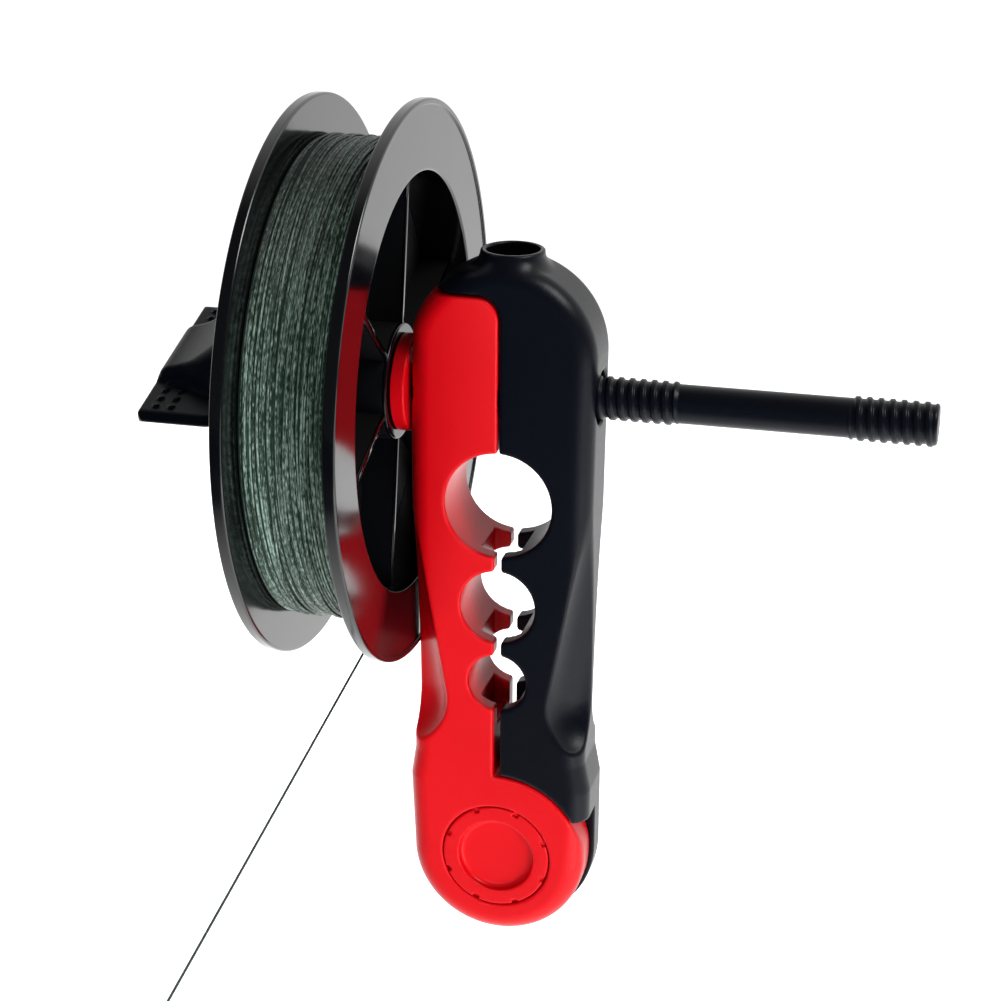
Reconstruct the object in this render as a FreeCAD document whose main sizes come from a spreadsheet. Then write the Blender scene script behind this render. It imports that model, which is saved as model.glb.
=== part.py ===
# Clip-on fishing line winder: two hinged arms that close on a rod, a through spindle that
# carries a spool of line between two cones, and a wing nut that sets the drag and the grip.
# Frame: origin at the centre of the largest rod hole, X along the spindle towards its free end,
# Y through the rod holes from front to back, Z up. Millimetres.
import FreeCAD
import Part
import math
import os
import Sketcher
from FreeCAD import Placement, Rotation, Vector

doc = FreeCAD.newDocument("line_winder")
sizes = doc.addObject("Spreadsheet::Sheet", "Sizes")

# Driving dimensions: alias, value
DRIVING = {
    # arms
    "body_depth": 14.7, "head_half": 15.5, "waist_half": 14.65, "knuckle_radius": 15.6,
    "dome_rise": 24.3, "waist_drop": 45.7, "flare_length": 5.0, "edge_round": 3.6,
    "jaw_top_half": 14.6, "jaw_belly_half": 15.2, "jaw_belly_rise": 8.0, "jaw_waist_half": 14.85,
    "jaw_knuckle": 15.0,
    "split_gap": 0.3, "arm_gap": 1.2, "jaw_rise": 34.8, "jaw_corner": 4.0, "roof_gap": 0.3,
    "lap_gap": 0.3, "lap_clearance": 0.35, "lap_step": 7.8, "cut_over": 1.0,
    # rod holes and the channel that cores the gripping faces
    "large_radius": 8.9, "medium_radius": 6.3, "small_radius": 4.92,
    "medium_drop": 17.8, "small_drop": 31.4, "hinge_drop": 63.8,
    "channel_wall": 3.0, "channel_depth": 3.4, "channel_drop": 40.0,
    # finger scoops: a leaning round-ended cut across each outer corner
    "scoop_radius": 9.5, "scoop_low_x": 17.75, "scoop_low_y": 2.56, "scoop_low_drop": 35.5,
    "scoop_high_x": 20.96, "scoop_high_y": 2.0, "scoop_high_drop": 18.2, "scoop_length": 60.0,
    # collar on the head
    "collar_x": 0.5, "collar_radius": 5.2, "collar_bore": 4.3, "collar_rise": 41.2,
    "collar_depth": 4.3, "collar_flare": 1.8, "flare_sink": 2.2,
    # hinge
    "pin_radius": 2.5, "pin_head_radius": 4.2, "pin_head_height": 1.4, "cap_radius": 9.0,
    "cap_groove": 0.4, "cap_height": 1.8, "dish_radius": 6.5, "dish_depth": 1.1,
    "notch_count": 8, "notch_width": 1.2, "notch_length": 0.9, "notch_phase": 22.5,
    "nut_flats": 6.6, "nut_height": 2.2, "nut_recess": 4.6, "pin_clearance": 0.05,
    "pin_short": 0.5, "well_sink": 0.2, "head_clearance": 0.2, "thread_fit": 0.01,
    "seat_gap": 0.05,
    # spindle
    "spindle_rise": 17.6, "spindle_length": 119.0, "spindle_centre": 9.4, "spindle_core": 3.17,
    "spindle_crest": 3.53, "end_thread": 13.9, "middle_thread": 37.6, "spindle_chamfer": 0.5,
    "thread_clearance": 0.07, "mouth_radius": 4.45, "mouth_depth": 2.5, "jaw_bore": 5.2,
    # spring between the arms
    "jaw_spring_radius": 5.6, "jaw_spring_wire": 0.8, "jaw_spring_length": 11.2,
    "jaw_spring_turns": 4, "pocket_radius": 6.8, "pocket_depth": 6.0,
    # spool
    "flange_radius": 46.0, "opening_radius": 34.34, "flange_thick": 2.0, "spool_width": 19.5,
    "spool_inset": 0.2, "barrel_wall": 1.7, "lip_width": 1.0, "lip_height": 0.3,
    "hub_radius": 9.6, "hub_bore": 6.7, "hub_length": 13.5, "web_thick": 1.6,
    "rib_thick": 1.2, "rib_inset": 0.2, "rib_count": 6, "rib_angle": 80.0, "rib_root": 1.0,
    "join_gap": 0.05,
    # line on the spool
    "winding_radius": 39.4, "winding_wire": 0.7, "winding_turns": 13, "winding_side": 0.1,
    "winding_lift": 0.02,
    # cones, drag washer, drag spring
    "cone_base": 8.0, "cone_tip": 5.3, "cone_length": 4.85, "cone_gap": 0.25,
    "washer_radius": 7.6, "washer_thick": 0.8, "stack_gap": 0.1, "drag_radius": 5.2,
    "drag_wire": 0.9, "drag_length": 5.9, "drag_turns": 3,
    # wing nut
    "nut_end_wall": 6.7, "nut_radius": 10.3, "nut_gap": 0.25, "nut_pocket": 6.3,
    "nut_pocket_depth": 6.4, "spindle_end_gap": 1.1, "nut_skirt": 4.5, "nut_flat_half": 3.2,
    "nut_flat_length": 3.4, "nut_rise_half": 5.4, "nut_rise_length": 7.0, "wing_span": 17.6,
    "wing_thick": 2.2, "wing_length": 11.0, "wing_corner": 2.6, "wing_cut": 3.2, "wing_root": 1.0,
    "nut_tilt": 15.5, "nut_round": 0.8,
    # line that runs off the spool
    "line_radius": 0.2, "line_gap": 0.25, "line_x": -20.5, "line_angle": 82.3,
    "line_wrap": 30.0, "line_run": 118.0, "loop_radius": 1.5, "knot_radius": 0.6,
    "knot_gap": 0.02,
}
for row, (alias, value) in enumerate(DRIVING.items(), start=1):
    sizes.set("A%d" % row, alias)
    sizes.set("B%d" % row, str(value))
    sizes.setAlias("B%d" % row, alias)
doc.recompute()


def bound(text):
    """The expression with each alias given its sheet."""
    words = sorted(DRIVING, key=len, reverse=True)
    out = ""
    spot = 0
    while spot < len(text):
        if text[spot].isalpha():
            stop = spot
            while stop < len(text) and (text[stop].isalnum() or text[stop] == "_"):
                stop += 1
            word = text[spot:stop]
            out += "Sizes." + word if word in words else word
            spot = stop
        else:
            out += text[spot]
            spot += 1
    return out


def value(text):
    """What an expression on the sheet comes to, in millimetres or degrees."""
    return float(sizes.evalExpression(bound(str(text))))


def bind(thing, **paths):
    """Binds properties to expressions: double underscore stands for a dot."""
    for path, text in paths.items():
        thing.setExpression(path.replace("__", "."), bound(str(text)))


def at(thing, x="0", y="0", z="0", turn=None):
    """Puts an object at a bound place, turned first by a fixed rotation."""
    if turn is not None:
        thing.Placement = Placement(Vector(value(x), value(y), value(z)), turn)
    bind(thing, Placement__Base__x=x, Placement__Base__y=y, Placement__Base__z=z)
    return thing


ALONG_X = Rotation(Vector(0, 1, 0), 90)
ALONG_Y = Rotation(Vector(1, 0, 0), -90)


def box(name, x, y, z, length, width, height):
    """A box from its low corner, all bound."""
    made = doc.addObject("Part::Box", name)
    bind(made, Length=length, Width=width, Height=height)
    return at(made, x, y, z)


def rod(name, radius, height, x="0", y="0", z="0", turn=None):
    """A cylinder from the centre of its low end."""
    made = doc.addObject("Part::Cylinder", name)
    bind(made, Radius=radius, Height=height)
    return at(made, x, y, z, turn)


def cut(name, base, tools):
    """The base less the tools."""
    tool = tools[0] if len(tools) == 1 else fuse(name + "_tools", tools)
    made = doc.addObject("Part::Cut", name)
    made.Base = base
    made.Tool = tool
    return made


def fuse(name, shapes):
    """One solid of several."""
    made = doc.addObject("Part::MultiFuse", name)
    made.Shapes = shapes
    return made


def plane(body, role):
    """One of a body's own origin planes or axes."""
    return next(f for f in body.Origin.OriginFeatures if f.Role == role)


def sketch(body, name, role, lift="0"):
    """A sketch on an origin plane, lifted along the plane's normal."""
    made = body.newObject("Sketcher::SketchObject", name)
    made.AttachmentSupport = [(plane(body, role), "")]
    made.MapMode = "FlatFace"
    bind(made, AttachmentOffset__Base__z=lift)
    return made


def polygon(made, points):
    """A closed outline whose corners are bound pair by pair."""
    first = made.GeometryCount
    spots = [Vector(value(a), value(b), 0) for a, b in points]
    for i, spot in enumerate(spots):
        made.addGeometry(Part.LineSegment(spot, spots[(i + 1) % len(spots)]), False)
    for i in range(len(spots)):
        after = first + (i + 1) % len(spots)
        made.addConstraint(Sketcher.Constraint("Coincident", first + i, 2, after, 1))
    for i, (a, b) in enumerate(points):
        for kind, text, number in (("DistanceX", a, spots[i].x), ("DistanceY", b, spots[i].y)):
            index = made.addConstraint(Sketcher.Constraint(kind, -1, 1, first + i, 1, number))
            made.setExpression("Constraints[%d]" % index, bound(str(text)))
    return made


def circle(made, radius, a="0", b="0"):
    """A bound circle."""
    spot = Vector(value(a), value(b), 0)
    geo = made.addGeometry(Part.Circle(spot, Vector(0, 0, 1), value(radius)), False)
    for kind, text, number in (("DistanceX", a, spot.x), ("DistanceY", b, spot.y)):
        index = made.addConstraint(Sketcher.Constraint(kind, -1, 1, geo, 3, number))
        made.setExpression("Constraints[%d]" % index, bound(str(text)))
    index = made.addConstraint(Sketcher.Constraint("Radius", geo, value(radius)))
    made.setExpression("Constraints[%d]" % index, bound(str(radius)))
    return made


def body_on(name, z="0"):
    """A body whose own origin is raised to a bound height."""
    made = doc.addObject("PartDesign::Body", name)
    bind(made, Placement__Base__z=z)
    return made


def pad(body, name, profile, length, both=True):
    """A prism on a sketch, to both sides of it or along its normal."""
    made = body.newObject("PartDesign::Pad", name)
    made.Profile = profile
    made.Midplane = both
    bind(made, Length=length)
    body.Tip = made
    return made


def pocket(body, name, profile, length, both=True, against=False):
    """A cut on a sketch."""
    made = body.newObject("PartDesign::Pocket", name)
    made.Profile = profile
    made.Midplane = both
    made.Reversed = against
    bind(made, Length=length)
    body.Tip = made
    return made


def turned(body, name, points):
    """A body of revolution about X from a profile in X and radius."""
    outline = polygon(sketch(body, name + "_profile", "XZ_Plane"), points)
    made = body.newObject("PartDesign::Revolution", name)
    made.Profile = outline
    made.ReferenceAxis = (plane(body, "X_Axis"), [""])
    made.Angle = 360
    body.Tip = made
    return made


def edges_where(shape, test):
    """Names of the edges that pass a test."""
    return ["Edge%d" % (i + 1) for i, edge in enumerate(shape.Edges) if test(edge)]


def around(body, name, feature, count):
    """Repeats a feature of a body round the X axis."""
    made = body.newObject("PartDesign::PolarPattern", name)
    made.Originals = [feature]
    made.Axis = (plane(body, "X_Axis"), [""])
    made.Angle = 360
    bind(made, Occurrences=count)
    body.Tip = made
    return made


# An arm blank: a tapered shank over a flared, round knuckle, with its outer edges rounded; the
# body's has a round head as well
def paddle(name, half, knuckle_size, domed):
    body = body_on(name)
    shank = sketch(body, name + "_shank", "XZ_Plane")
    left = [("-" + a, b) for a, b in reversed(half)]
    polygon(shank, half + left)
    pad(body, name + "_shank_pad", shank, "body_depth")
    if domed:
        head = circle(sketch(body, name + "_head", "XZ_Plane"), "head_half", "0", "dome_rise")
        pad(body, name + "_head_pad", head, "body_depth")
    knuckle = circle(sketch(body, name + "_knuckle", "XZ_Plane"), knuckle_size, "0",
                     "-hinge_drop")
    last = pad(body, name + "_knuckle_pad", knuckle, "body_depth")
    doc.recompute()
    face_y = value("body_depth / 2")
    rounds = body.newObject("PartDesign::Fillet", name + "_rounds")
    outer = edges_where(last.Shape, lambda e: abs(abs(e.BoundBox.YMin) - face_y) < 1e-6
                        and e.BoundBox.YLength < 1e-6)
    rounds.Base = (last, outer)
    bind(rounds, Radius="edge_round")
    body.Tip = rounds
    return body


# A finger scoop: a leaning cylinder with a ball at its low end, mirrored by its two signs
def scoop(name, side, face):
    low = Vector(side * value("scoop_low_x"), face * value("body_depth / 2 + scoop_low_y"),
                 -value("scoop_low_drop"))
    high = Vector(side * value("scoop_high_x"), face * value("body_depth / 2 + scoop_high_y"),
                  -value("scoop_high_drop"))
    lean = Rotation(Vector(0, 0, 1), high - low)
    place = {"x": "%d * scoop_low_x" % side, "y": "%d * (body_depth / 2 + scoop_low_y)" % face,
             "z": "-scoop_low_drop"}
    shaft = rod(name + "_shaft", "scoop_radius", "scoop_length", turn=lean, **place)
    ball = doc.addObject("Part::Sphere", name + "_ball")
    bind(ball, Radius="scoop_radius")
    at(ball, **place)
    return [shaft, ball]


def rod_holes(name):
    """The three rod holes, right through from front to back."""
    front = "-body_depth"
    holes = (("large", "large_radius", "0"), ("medium", "medium_radius", "-medium_drop"),
             ("small", "small_radius", "-small_drop"))
    return [rod(name + "_" + word, radius, "2 * body_depth", "0", front, z, ALONG_Y)
            for word, radius, z in holes]


# Main body: the fixed arm, whose head reaches over the jaw, with the rear half of the knuckle
shell = paddle("body_paddle", [
    ("head_half", "dome_rise"), ("waist_half", "-waist_drop"),
    ("knuckle_radius", "-waist_drop - flare_length"), ("knuckle_radius", "-hinge_drop")],
    "knuckle_radius", True)
bay = box("jaw_bay", "split_gap / 2 - 2 * head_half", "-body_depth", "-hinge_drop",
          "2 * head_half", "2 * body_depth", "hinge_drop + jaw_rise + roof_gap")
knuckle_keep = rod("knuckle_keep", "knuckle_radius", "2 * body_depth", "0", "-body_depth",
                   "-hinge_drop", ALONG_Y)
bay_corner = box("bay_corner", "split_gap / 2 - jaw_corner", "-body_depth",
                 "jaw_rise + roof_gap - jaw_corner", "2 * jaw_corner", "2 * body_depth",
                 "2 * jaw_corner")
bay_round = rod("bay_round", "jaw_corner", "2 * body_depth", "split_gap / 2 - jaw_corner",
                "-body_depth", "jaw_rise + roof_gap - jaw_corner", ALONG_Y)
corner_fill = cut("corner_fill", bay_corner, [bay_round])
jaw_side = cut("jaw_side", bay, [knuckle_keep, corner_fill])
front_lap = rod("front_lap", "jaw_knuckle + lap_clearance", "body_depth / 2 + lap_gap / 2 + cut_over",
                "0", "-body_depth / 2 - cut_over", "-hinge_drop", ALONG_Y)
front_step = box("front_step", "-2 * head_half", "-body_depth / 2 - cut_over",
                 "-hinge_drop - 2 * knuckle_radius", "4 * head_half",
                 "body_depth / 2 + lap_gap / 2 + cut_over", "2 * knuckle_radius + lap_step")
front_bay = box("front_bay", "-2 * head_half", "-body_depth / 2 - cut_over", "-hinge_drop",
                "2 * head_half + split_gap / 2", "body_depth / 2 + lap_gap / 2 + cut_over",
                "hinge_drop")
body_gap = box("body_gap", "-split_gap", "-body_depth", "-hinge_drop", "split_gap + arm_gap / 2",
               "2 * body_depth", "hinge_drop")
gap_keep = rod("gap_keep", "knuckle_radius", "2 * body_depth", "0", "-body_depth",
               "-hinge_drop", ALONG_Y)
body_gap_cut = cut("body_gap_cut", body_gap, [gap_keep])
body_channel = box("body_channel", "0", "channel_wall - body_depth / 2", "-channel_drop",
                   "channel_depth", "body_depth - 2 * channel_wall", "channel_drop")
collar_rod = rod("collar_rod", "collar_radius", "collar_rise - dome_rise", "collar_x", "0",
                 "dome_rise")
flare_cone = doc.addObject("Part::Cone", "flare_cone")
bind(flare_cone, Radius1="collar_radius + collar_flare", Radius2="collar_radius",
     Height="flare_sink + lap_clearance")
at(flare_cone, "collar_x", "0", "dome_rise + head_half - flare_sink")
collar = fuse("collar", [collar_rod, flare_cone])
body_blank = cut("body_blank", shell, [jaw_side, front_lap, front_step, front_bay, body_gap_cut,
                                       body_channel] + rod_holes("body_hole")
                 + scoop("body_scoop_front", 1, -1) + scoop("body_scoop_back", 1, 1))
collar_trim = box("collar_trim", "-2 * collar_radius", "-body_depth", "0", "4 * collar_radius",
                  "2 * body_depth", "jaw_rise + roof_gap")
collar_top = cut("collar_top", collar, [collar_trim])
body_full = fuse("body_full", [body_blank, collar_top])
collar_hole = rod("collar_hole", "collar_bore", "collar_depth + cut_over", "collar_x", "0",
                  "collar_rise - collar_depth")
screw_bore = rod("screw_bore", "spindle_crest + thread_clearance", "2 * head_half", "0", "0",
                 "spindle_rise", ALONG_X)
mouth = rod("mouth", "mouth_radius", "head_half", "head_half - mouth_depth", "0",
            "spindle_rise", ALONG_X)
body_pocket = rod("body_pocket", "pocket_radius", "pocket_depth", "0", "0", "spindle_rise",
                  ALONG_X)
body_pin_hole = rod("body_pin_hole", "pin_radius", "2 * body_depth", "0", "-body_depth",
                    "-hinge_drop", ALONG_Y)
nut_well = rod("nut_well", "nut_recess", "body_depth", "0",
               "body_depth / 2 - nut_height - well_sink", "-hinge_drop", ALONG_Y)
main_body = cut("main_body", body_full, [collar_hole, screw_bore, mouth, body_pocket,
                                         body_pin_hole, nut_well])

# Clamp jaw: the swinging arm, with the front half of the knuckle
jaw_shell = paddle("jaw_paddle", [
    ("jaw_top_half", "jaw_rise + 2 * edge_round"), ("jaw_belly_half", "jaw_belly_rise"),
    ("jaw_waist_half", "-waist_drop"), ("knuckle_radius", "-waist_drop - flare_length"),
    ("jaw_knuckle", "-hinge_drop")], "jaw_knuckle", False)
body_side = box("body_side", "-split_gap / 2", "-body_depth", "-hinge_drop", "2 * head_half",
                "2 * body_depth", "hinge_drop + 2 * jaw_rise")
jaw_knuckle_keep = rod("jaw_knuckle_keep", "jaw_knuckle", "2 * body_depth", "0",
                       "-body_depth", "-hinge_drop", ALONG_Y)
jaw_side_cut = cut("jaw_side_cut", body_side, [jaw_knuckle_keep])
over_jaw = box("over_jaw", "-2 * head_half", "-body_depth", "jaw_rise", "4 * head_half",
               "2 * body_depth", "jaw_rise")
shoulder_box = box("shoulder_box", "-2 * head_half", "-body_depth", "dome_rise",
                   "2 * head_half", "2 * body_depth", "2 * head_half")
shoulder_keep = rod("shoulder_keep", "head_half", "2 * body_depth", "0", "-body_depth",
                    "dome_rise", ALONG_Y)
shoulder_cut = cut("shoulder_cut", shoulder_box, [shoulder_keep])
rear_lap = rod("rear_lap", "knuckle_radius + lap_clearance", "body_depth", "0",
               "-lap_gap / 2", "-hinge_drop", ALONG_Y)
jaw_gap = box("jaw_gap", "-arm_gap / 2", "-body_depth", "-hinge_drop", "arm_gap",
              "2 * body_depth", "hinge_drop")
jaw_gap_keep = rod("jaw_gap_keep", "jaw_knuckle", "2 * body_depth", "0", "-body_depth",
                   "-hinge_drop", ALONG_Y)
jaw_gap_cut = cut("jaw_gap_cut", jaw_gap, [jaw_gap_keep])
jaw_channel = box("jaw_channel", "-channel_depth", "channel_wall - body_depth / 2",
                  "-channel_drop", "channel_depth", "body_depth - 2 * channel_wall",
                  "channel_drop")
corner_box = box("corner_box", "-split_gap / 2 - jaw_corner", "-body_depth",
                 "jaw_rise - jaw_corner", "2 * jaw_corner", "2 * body_depth", "2 * jaw_corner")
corner_keep = rod("corner_keep", "jaw_corner", "2 * body_depth", "-split_gap / 2 - jaw_corner",
                  "-body_depth", "jaw_rise - jaw_corner", ALONG_Y)
corner_cut = cut("corner_cut", corner_box, [corner_keep])
jaw_bore = rod("jaw_bore_cut", "jaw_bore", "4 * head_half", "-2 * head_half", "0",
               "spindle_rise", ALONG_X)
jaw_pocket = rod("jaw_pocket", "pocket_radius", "pocket_depth", "-pocket_depth", "0",
                 "spindle_rise", ALONG_X)
jaw_pin_hole = rod("jaw_pin_hole", "pin_radius + pin_clearance", "2 * body_depth", "0",
                   "-body_depth", "-hinge_drop", ALONG_Y)
cap_seat = rod("cap_seat", "cap_radius + cap_groove", "cap_height + cut_over", "0",
               "-body_depth / 2 - cut_over", "-hinge_drop", ALONG_Y)
head_seat = rod("head_seat", "pin_head_radius + head_clearance",
                "cap_height + pin_head_height + 2 * seat_gap + cut_over", "0",
                "-body_depth / 2 - cut_over", "-hinge_drop", ALONG_Y)
clamp_jaw = cut("clamp_jaw", jaw_shell, [jaw_side_cut, over_jaw, shoulder_cut, rear_lap, jaw_gap_cut,
                                         jaw_channel, corner_cut, jaw_bore, jaw_pocket,
                                         jaw_pin_hole, cap_seat, head_seat]
                + rod_holes("jaw_hole") + scoop("jaw_scoop_front", -1, -1)
                + scoop("jaw_scoop_back", -1, 1))

# Hinge: a headed pin, a hexagon nut in the back, and a dished cap over the head
pin_shaft = rod("pin_shaft", "pin_radius",
                "body_depth - cap_height - pin_head_height - pin_short",
                "0", "-body_depth / 2 + cap_height + pin_head_height", "-hinge_drop", ALONG_Y)
pin_head = rod("pin_head", "pin_head_radius", "pin_head_height", "0",
               "-body_depth / 2 + cap_height + seat_gap", "-hinge_drop", ALONG_Y)
hinge_pin = fuse("hinge_pin", [pin_shaft, pin_head])
nut_blank = doc.addObject("Part::Prism", "nut_blank")
nut_blank.Polygon = 6
bind(nut_blank, Circumradius="nut_flats / sqrt(3)", Height="nut_height")
at(nut_blank, "0", "body_depth / 2 - nut_height - well_sink / 2", "-hinge_drop", ALONG_Y)
nut_hole = rod("nut_hole", "pin_radius + thread_fit", "2 * body_depth", "0", "-body_depth",
               "-hinge_drop", ALONG_Y)
hinge_nut = cut("hinge_nut", nut_blank, [nut_hole])

cap_disc = rod("cap_disc", "cap_radius", "cap_height - seat_gap", "0", "-body_depth / 2",
               "-hinge_drop", ALONG_Y)
dish = rod("dish", "dish_radius", "dish_depth + cut_over", "0", "-body_depth / 2 - cut_over",
           "-hinge_drop", ALONG_Y)
notches = []
for i in range(int(value("notch_count"))):
    step = 360.0 * i / value("notch_count") + value("notch_phase")
    notch = doc.addObject("Part::Box", "notch_%d" % i)
    bind(notch, Length="notch_width", Width="cap_height + 2 * cut_over",
         Height="2 * notch_length")
    spin = Rotation(Vector(0, 1, 0), step)
    reach = "cap_radius - notch_length"
    notch.Placement = Placement(Vector(0, 0, 0), spin)
    at(notch, "(%s) * sin(%g) - notch_width / 2 * cos(%g)" % (reach, step, step),
       "-body_depth / 2 - cut_over",
       "(%s) * cos(%g) + notch_width / 2 * sin(%g) - hinge_drop" % (reach, step, step))
    notches.append(notch)
hinge_cap = cut("hinge_cap", cap_disc, [dish] + notches)

# Spindle: a plain rod with raised thread at both ends and round its middle
spindle = body_on("spindle", "spindle_rise")
left_end = "spindle_centre - spindle_length / 2"
right_end = "spindle_centre + spindle_length / 2"
mid_low = "spindle_centre - middle_thread / 2"
mid_high = "spindle_centre + middle_thread / 2"
turned(spindle, "spindle_turned", [
    (left_end, "0"), (left_end, "spindle_crest - spindle_chamfer"),
    (left_end + " + spindle_chamfer", "spindle_crest"), (left_end + " + end_thread", "spindle_crest"),
    (left_end + " + end_thread", "spindle_core"), (mid_low, "spindle_core"),
    (mid_low, "spindle_crest"), (mid_high, "spindle_crest"), (mid_high, "spindle_core"),
    (right_end + " - end_thread", "spindle_core"), (right_end + " - end_thread", "spindle_crest"),
    (right_end + " - spindle_chamfer", "spindle_crest"),
    (right_end, "spindle_crest - spindle_chamfer"), (right_end, "0")])

# Spool: two flanges with half a barrel each, snapped over a six-spoked centre
spool_mid = "(spool_inset - jaw_belly_half - spool_width / 2)"


def flange(name, side):
    """A flange with a raised lip at its rim and its half of the barrel; side is 1 or -1."""
    body = body_on(name, "spindle_rise")

    def along(text):
        return "%s + %d * (%s)" % (spool_mid, side, text)
    face = "spool_width / 2"
    barrel = "opening_radius + barrel_wall"
    points = [(along("join_gap / 2"), "opening_radius"),
              (along(face + " - lip_height"), "opening_radius"),
              (along(face + " - lip_height"), "flange_radius - lip_width"),
              (along(face), "flange_radius - lip_width"), (along(face), "flange_radius"),
              (along(face + " - flange_thick"), "flange_radius"),
              (along(face + " - flange_thick"), barrel), (along("join_gap / 2"), barrel)]
    turned(body, name + "_turned", points)
    return body


spool_flange_left = flange("spool_flange_left", -1)
spool_flange_right = flange("spool_flange_right", 1)

spool_arbor = body_on("spool_arbor", "spindle_rise")
web_rim = "opening_radius - seat_gap"
turned(spool_arbor, "arbor_turned", [
    (spool_mid + " - hub_length / 2", "hub_bore"), (spool_mid + " + hub_length / 2", "hub_bore"),
    (spool_mid + " + hub_length / 2", "hub_radius"), (spool_mid + " + web_thick / 2", "hub_radius"),
    (spool_mid + " + web_thick / 2", web_rim), (spool_mid + " - web_thick / 2", web_rim),
    (spool_mid + " - web_thick / 2", "hub_radius"), (spool_mid + " - hub_length / 2", "hub_radius")])
rib_sketch = sketch(spool_arbor, "rib_sketch", "YZ_Plane", spool_mid)
rib_sketch.AttachmentOffset = Placement(Vector(0, 0, value(spool_mid)),
                                        Rotation(Vector(0, 0, 1), value("rib_angle")))
bind(rib_sketch, AttachmentOffset__Base__z=spool_mid)
polygon(rib_sketch, [("hub_radius - rib_root", "-rib_thick / 2"), (web_rim, "-rib_thick / 2"),
                     (web_rim, "rib_thick / 2"), ("hub_radius - rib_root", "rib_thick / 2")])
rib = pad(spool_arbor, "rib", rib_sketch, "hub_length - 2 * rib_inset")
around(spool_arbor, "ribs", rib, "rib_count")

# Line on the spool: a plain core, and an outer layer of real turns as one tube
line_core = body_on("line_core", "spindle_rise")
core_low = spool_mid + " - spool_width / 2 + flange_thick + winding_side"
core_high = spool_mid + " + spool_width / 2 - flange_thick - winding_side"
core_top = "winding_radius - winding_wire - winding_lift"
turned(line_core, "core_turned", [
    (core_low, "opening_radius + barrel_wall + seat_gap"), (core_low, core_top),
    (core_high, core_top), (core_high, "opening_radius + barrel_wall + seat_gap")])


def helix_spot(radius, pitch, turn):
    """Point and direction of a helix about X after a number of turns."""
    a = 2 * math.pi * turn
    spot = Vector(pitch * turn, radius * math.cos(a), radius * math.sin(a))
    way = Vector(pitch / (2 * math.pi), -radius * math.sin(a), radius * math.cos(a))
    return spot, way.normalize()


def arc_on(start, corner, end):
    """The arc from start to end whose tangents meet at the corner."""
    half = (end - start) * 0.5
    middle = start + half
    rise = corner - middle
    lean = math.atan2(rise.Length, half.Length)
    tip = middle + rise.normalize() * (half.Length * math.tan(lean / 2))
    return Part.Arc(start, tip, end).toShape()


def coil(radius, pitch, turns, wire):
    """A tube wound about X from x = 0, on two arcs to each quarter turn."""
    edges = []
    for quarter in range(int(round(4 * turns))):
        p0, t0 = helix_spot(radius, pitch, quarter / 4)
        p1, t1 = helix_spot(radius, pitch, (quarter + 1) / 4)
        chord = p1 - p0
        both = chord.dot(t0 + t1)
        spread = 2 * (1 - t0.dot(t1))
        reach = (math.sqrt(both * both + spread * chord.dot(chord)) - both) / spread
        a = p0 + t0 * reach
        b = p1 - t1 * reach
        joint = (a + b) * 0.5
        edges += [arc_on(p0, a, joint), arc_on(joint, b, p1)]
    path = Part.Wire(edges)
    start, way = helix_spot(radius, pitch, 0)
    ring = Part.Wire([Part.Circle(start, way, wire / 2).toShape()])
    return path.makePipeShell([ring], True, False)


def least_gap(radius, pitch, turns, wire, steps=48):
    """Least distance between the tube's skin and itself, over points more than a half turn on."""
    spots = [helix_spot(radius, pitch, i / steps)[0] for i in range(int(turns * steps) + 1)]
    least = 1e9
    for i, spot in enumerate(spots):
        for other in spots[i + steps // 2:i + 2 * steps]:
            least = min(least, (spot - other).Length)
    return least - wire


def coiled(name, radius, turns, wire, low, length):
    """A coil as a feature, its middle line running the given length along X from low."""
    count = value(turns)
    pitch = (value(length) - value(wire)) / count
    made = doc.addObject("Part::Feature", name)
    made.Shape = coil(value(radius), pitch, count, value(wire))
    made.Placement = Placement(Vector(value(low) + value(wire) / 2, 0, value("spindle_rise")),
                               Rotation())
    print(name, "least gap", round(least_gap(value(radius), pitch, count, value(wire)), 3))
    return made


line_winding = coiled("line_winding", "winding_radius - winding_wire / 2", "winding_turns",
                      "winding_wire", core_low, "spool_width - 2 * flange_thick - 2 * winding_side")
jaw_spring = coiled("jaw_spring", "jaw_spring_radius", "jaw_spring_turns", "jaw_spring_wire",
                    "-jaw_spring_length / 2", "jaw_spring_length")

# Cones: both slide on the spindle and centre the spool from either side
cone_out = "(-jaw_belly_half - cone_gap)"
bore = "spindle_crest + thread_clearance"
spool_cone = body_on("spool_cone", "spindle_rise")
turned(spool_cone, "cone_turned", [
    (cone_out, bore), (cone_out, "cone_base"), (cone_out + " - cone_length", "cone_tip"),
    (cone_out + " - cone_length", bore)])
far_out = "(2 * " + spool_mid + " + jaw_belly_half + cone_gap)"
drag_cone = body_on("drag_cone", "spindle_rise")
turned(drag_cone, "drag_cone_turned", [
    (far_out, bore), (far_out, "cone_base"), (far_out + " + cone_length", "cone_tip"),
    (far_out + " + cone_length", bore)])

# Drag stack between the far cone and the nut
washer_out = "(" + far_out + " - stack_gap - washer_thick)"
drag_washer = body_on("drag_washer", "spindle_rise")
turned(drag_washer, "washer_turned", [
    (washer_out, bore), (washer_out, "washer_radius"),
    (washer_out + " + washer_thick", "washer_radius"), (washer_out + " + washer_thick", bore)])
drag_spring = coiled("drag_spring", "drag_radius", "drag_turns", "drag_wire",
                     washer_out + " - seat_gap - drag_length", "drag_length")

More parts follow.
